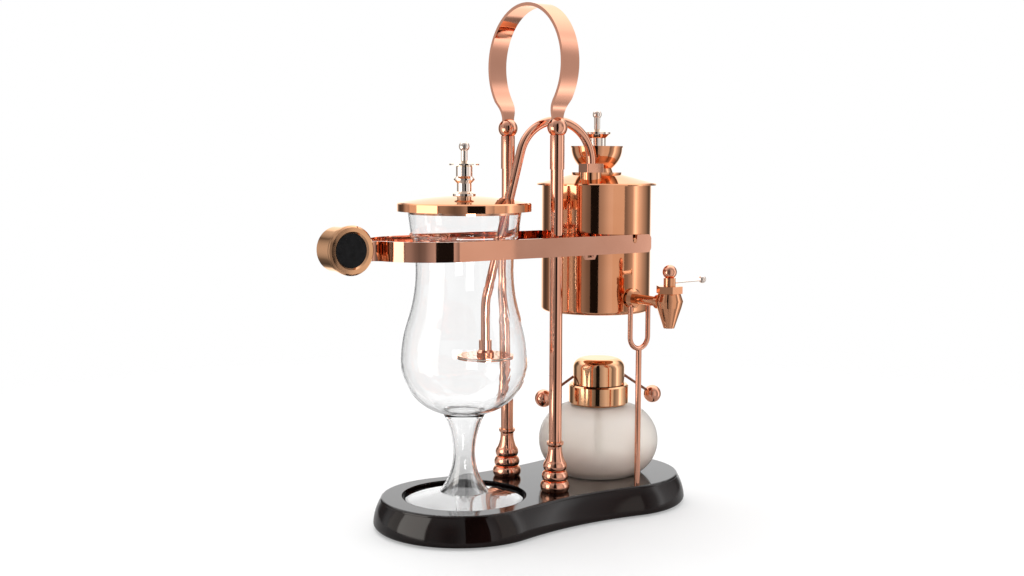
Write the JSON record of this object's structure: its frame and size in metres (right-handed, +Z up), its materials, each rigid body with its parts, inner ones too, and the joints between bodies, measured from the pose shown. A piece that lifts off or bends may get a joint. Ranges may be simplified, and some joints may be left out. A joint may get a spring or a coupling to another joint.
{
  "type": "balance siphon coffee maker",
  "caption": "Balance siphon coffee maker: a copper boiler and a counterweight on a tipping beam, a stemmed glass joined by a bent tube, and a spirit lamp on a lobed base.",
  "frame": {"origin": "on the table, under the middle of the two posts", "axes": "+Z up, +X towards the boiler, -Y towards the tap"},
  "size_m": [0.3304, 0.1657, 0.4025],
  "materials": {
    "copper": "mirror-polished rose-gold copper plate",
    "lacquer": "high-gloss black-brown lacquer",
    "felt": "matt felt",
    "clear_glass": "clear blown glass",
    "frosted_glass": "frosted white glass",
    "seal_rubber": "matt silicone",
    "black_disc": "plain gloss black",
    "cotton": "woven cotton",
    "steel": "plain steel"
  },
  "bodies": {
    "stand": {"base_board": "lacquer", "base_felt": "felt", "base_screws": "steel", "carry_handle": "copper", "front_ball_nut": "copper", "front_pivot_pin": "copper", "front_post": "copper", "front_post_foot": "copper", "front_post_sleeve": "copper", "glass_chamber": "clear_glass", "rear_ball_nut": "copper", "rear_pivot_pin": "copper", "rear_post": "copper", "rear_post_foot": "copper", "rear_post_sleeve": "copper", "tap_fork": "copper"},
    "beam": {"front_beam_strap": "copper", "rear_beam_strap": "copper", "front_pivot_bush": "copper", "rear_pivot_bush": "copper", "weight_stem": "copper", "stem_rivets": "copper", "counterweight_barrel": "copper", "counterweight_bezel": "copper", "counterweight_disc": "black_disc"},
    "boiler": {"boiler_shell": "copper", "boiler_top": "copper", "trunnion_pins": "copper", "trunnion_nuts": "steel", "filler_funnel": "copper", "tube_block": "copper", "tube_seal": "seal_rubber", "siphon_tube": "copper", "dip_tube": "copper", "filter_socket": "copper", "filter_top_plate": "copper", "filter_cloth": "cotton", "filter_bottom_plate": "copper", "filter_nut": "copper", "tap_flange": "copper", "tap_locknut": "steel", "tap_pipe": "copper", "tap_body": "copper", "tap_nut": "copper"},
    "plug": {"filler_plug": "copper", "plug_seal": "seal_rubber"},
    "tap_key": {"tap_key": "copper", "tap_knob": "copper", "tap_lever": "copper"},
    "lid": {"glass_lid": "copper", "lid_finial": "copper", "finial_screw": "steel"},
    "lamp": {"lamp_bowl": "frosted_glass", "lamp_collar": "copper", "wick_holder": "copper", "wick": "cotton", "snuffer_pin": "steel"},
    "snuffer": {"snuffer_cap": "copper", "snuffer_wires": "copper", "snuffer_balls": "copper"}
  },
  "joints": [
    {"name": "beam_tilt", "type": "hinge", "parent": "stand", "child": "beam", "pos_m": [0, 0, 0.216], "axis": [0, 1, 0], "range_deg": [0, 6]},
    {"name": "boiler_swing", "type": "hinge", "parent": "beam", "child": "boiler", "pos_m": [0.0665, 0, 0.2186], "axis": [0, 1, 0], "range_deg": [-6, 0]},
    {"name": "plug_lift", "type": "slide", "parent": "boiler", "child": "plug", "axis": [0, 0, 1], "range_m": [0, 0.045]},
    {"name": "tap_turn", "type": "hinge", "parent": "boiler", "child": "tap_key", "pos_m": [0.0665, -0.0875, 0.1891], "axis": [0, 0, 1], "range_deg": [-90, 0]},
    {"name": "lid_lift", "type": "slide", "parent": "stand", "child": "lid", "axis": [0, 0, 1], "range_m": [0, 0.1]},
    {"name": "lamp_slide", "type": "slide", "parent": "stand", "child": "lamp", "axis": [1, 0, 0], "range_m": [0, 0.08]},
    {"name": "snuffer_open", "type": "hinge", "parent": "lamp", "child": "snuffer", "pos_m": [0.08153, 0.0253, 0.1005], "axis": [-0.9232, 0.3843, 0], "range_deg": [0, 100]}
  ],
  "couplings": [
    {"joint": "boiler_swing", "follows": "beam_tilt", "ratio": -1}
  ]
}
